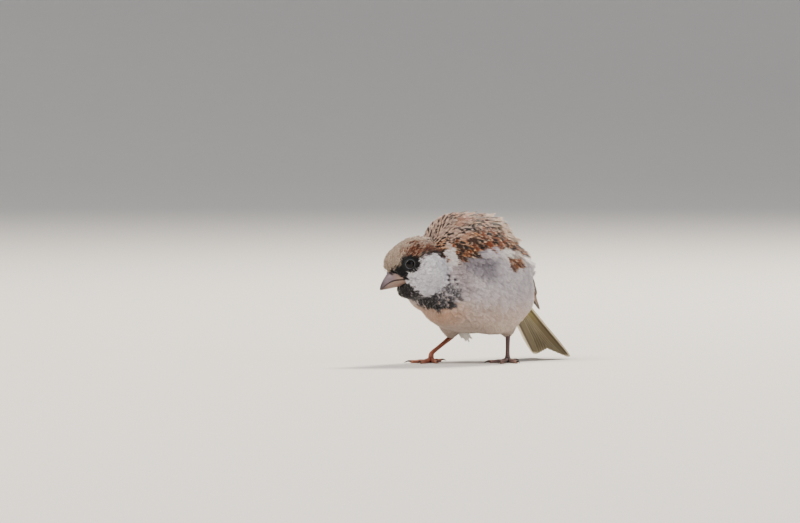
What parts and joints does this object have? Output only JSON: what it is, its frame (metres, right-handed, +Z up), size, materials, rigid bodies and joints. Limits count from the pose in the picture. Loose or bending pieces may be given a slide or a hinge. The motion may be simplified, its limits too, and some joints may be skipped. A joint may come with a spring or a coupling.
{
  "type": "house sparrow model",
  "caption": "Life-size still model of a male house sparrow, fluffed and hunched, standing on flat toes with its head low and turned to its right.",
  "frame": {"origin": "on the floor, under the middle of the model's box", "axes": "+Z up. The body heads 52 degrees round from -X towards -Y, and the bill points nearly along -X. The reference view looks along +Y, with +X to the right."},
  "size_m": [0.0928, 0.087, 0.0735],
  "materials": {
    "head_plumage": "soft short feathers, chestnut, buff grey, black and pale grey",
    "body_plumage": "soft loose feathers, pale lilac grey below and streaked chestnut above",
    "flight_plumage": "firm vaned feathers, dark brown with buff and rufous edges",
    "bill_horn": "satin horn, pinkish grey, darker to the tip",
    "leg_skin": "scaled skin, reddish flesh",
    "eye": "wet gloss",
    "claw_horn": "satin horn, dark brown"
  },
  "bodies": {
    "root": {"head": "head_plumage", "neck": "body_plumage", "trunk": "body_plumage", "tail": "flight_plumage", "wing_left": "flight_plumage", "wing_right": "flight_plumage", "thigh_left": "body_plumage", "thigh_right": "body_plumage", "shank_left": "leg_skin", "shank_right": "leg_skin", "toe_left_outer": "leg_skin", "toe_left_middle": "leg_skin", "toe_left_inner": "leg_skin", "toe_left_hind": "leg_skin", "toe_right_outer": "leg_skin", "toe_right_middle": "leg_skin", "toe_right_inner": "leg_skin", "toe_right_hind": "leg_skin", "bill_upper": "bill_horn", "bill_lower": "bill_horn", "eye_left": "eye", "eye_right": "eye"}
  },
  "joints": []
}
